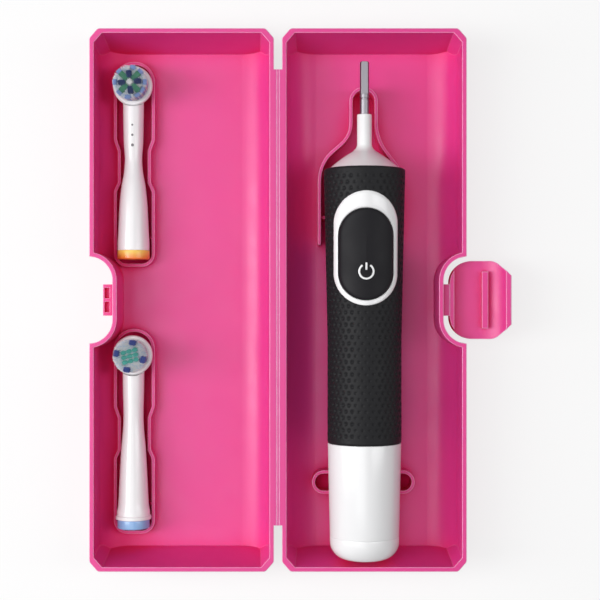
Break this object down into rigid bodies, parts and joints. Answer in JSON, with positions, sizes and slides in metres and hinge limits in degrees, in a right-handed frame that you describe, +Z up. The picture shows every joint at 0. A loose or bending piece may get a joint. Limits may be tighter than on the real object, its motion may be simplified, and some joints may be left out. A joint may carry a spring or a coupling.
{
  "type": "travel case for an electric toothbrush",
  "caption": "Hinged moulded travel case with a side latch flap, lying open with an electric toothbrush handle cradled in one half and spare round brush heads in the other.",
  "frame": {"origin": "centre of the base shell's outer bottom face, which the open case lies on", "axes": "+X from the hinge to the latch, +Y along the case to the brush shaft's end, +Z up out of the open halves"},
  "size_m": [0.1653, 0.212, 0.036],
  "materials": {
    "pink_pp": "semi-gloss moulded polypropylene",
    "white_abs": "glossy white moulding",
    "grip_rubber": "soft moulded rubber",
    "seal_rubber": "soft seal",
    "shaft_steel": "turned and ground steel",
    "copper": "wound enamelled wire",
    "ferrite": "dull dark ferrite",
    "chassis_plastic": "plain moulding",
    "gear_plastic": "plain moulded acetal",
    "battery_skin": "printed sleeve",
    "board_green": "solder resist",
    "ring_orange": "moulded band",
    "ring_blue": "moulded band",
    "bristle_nylon": "nylon filament"
  },
  "bodies": {
    "base": {"base_shell": "pink_pp", "hinge_web": "pink_pp"},
    "cover": {"cover_shell": "pink_pp"},
    "latch": {"latch_flap": "pink_pp", "latch_web": "pink_pp"},
    "handle": {"handle_housing": "white_abs", "handle_grip": "grip_rubber", "button_bezel": "white_abs", "handle_base_cap": "white_abs", "base_seal": "seal_rubber", "charge_coil": "copper", "coil_core": "ferrite", "neck_seal": "seal_rubber", "shaft_bush": "copper", "chassis": "chassis_plastic", "battery": "battery_skin", "battery_contacts": "shaft_steel", "motor": "shaft_steel", "gear_axle": "shaft_steel", "circuit_board": "board_green", "button_switch": "ferrite"},
    "button": {"power_button": "grip_rubber"},
    "pinion": {"motor_pinion": "gear_plastic"},
    "crank": {"crank_gear": "gear_plastic"},
    "shaft": {"drive_shaft": "shaft_steel", "rocker_arm": "gear_plastic", "coupler_link": "gear_plastic"},
    "head_a": {"head_a_body": "white_abs", "head_a_ring": "ring_orange", "head_a_pin": "shaft_steel"},
    "head_a_rod": {"head_a_rod": "white_abs"},
    "head_a_disc": {"head_a_disc": "white_abs", "head_a_bristles": "bristle_nylon"},
    "head_b": {"head_b_body": "white_abs", "head_b_ring": "ring_blue", "head_b_pin": "shaft_steel"},
    "head_b_rod": {"head_b_rod": "white_abs"},
    "head_b_disc": {"head_b_disc": "white_abs", "head_b_bristles": "bristle_nylon"}
  },
  "joints": [
    {"name": "case_hinge", "type": "hinge", "parent": "base", "child": "cover", "pos_m": [-0.0376, 0.001, 0.023], "axis": [0, -1, 0], "range_deg": [-180, 0], "deforming": ["hinge_web"]},
    {"name": "latch_hinge", "type": "hinge", "parent": "base", "child": "latch", "pos_m": [0.0284, 0, 0.019], "axis": [0, 1, 0], "range_deg": [-90, 0], "deforming": ["latch_web"]},
    {"name": "handle_lift", "type": "slide", "parent": "base", "child": "handle", "axis": [0, 0, 1], "range_m": [0, 0.045]},
    {"name": "power_button_press", "type": "slide", "parent": "handle", "child": "button", "axis": [0, 0, -1], "range_m": [0, 0.0008], "stiffness_N_per_m": 2500, "springref_m": -0.0004},
    {"name": "crank_spin", "type": "hinge", "parent": "handle", "child": "crank", "pos_m": [-0.0037, 0.033, 0.0234], "axis": [0, 1, 0], "continuous": true},
    {"name": "pinion_spin", "type": "hinge", "parent": "handle", "child": "pinion", "pos_m": [-0.0037, 0.033, 0.0166], "axis": [0, 1, 0], "continuous": true},
    {"name": "shaft_swing", "type": "hinge", "parent": "handle", "child": "shaft", "pos_m": [-0.0037, 0.06, 0.0195], "axis": [0, 1, 0], "range_deg": [-28, 28]},
    {"name": "head_a_lift", "type": "slide", "parent": "cover", "child": "head_a", "axis": [0, 0, 1], "range_m": [0, 0.03]},
    {"name": "head_a_rod_swing", "type": "hinge", "parent": "head_a", "child": "head_a_rod", "pos_m": [-0.0956, 0.0553, 0.0095], "axis": [0, 1, 0], "range_deg": [-28, 28]},
    {"name": "head_a_disc_swing", "type": "hinge", "parent": "head_a", "child": "head_a_disc", "pos_m": [-0.0956, 0.0853, 0.0095], "axis": [0, 0, 1], "range_deg": [-22.5, 22.5]},
    {"name": "head_b_lift", "type": "slide", "parent": "cover", "child": "head_b", "axis": [0, 0, 1], "range_m": [0, 0.03]},
    {"name": "head_b_rod_swing", "type": "hinge", "parent": "head_b", "child": "head_b_rod", "pos_m": [-0.0956, -0.052, 0.0095], "axis": [0, 1, 0], "range_deg": [-28, 28]},
    {"name": "head_b_disc_swing", "type": "hinge", "parent": "head_b", "child": "head_b_disc", "pos_m": [-0.0956, -0.022, 0.0095], "axis": [0, 0, 1], "range_deg": [-22.5, 22.5]}
  ],
  "couplings": [
    {"joint": "pinion_spin", "follows": "crank_spin", "ratio": -3.25},
    {"joint": "head_a_disc_swing", "follows": "head_a_rod_swing", "ratio": 0.8},
    {"joint": "head_b_disc_swing", "follows": "head_b_rod_swing", "ratio": 0.8}
  ]
}
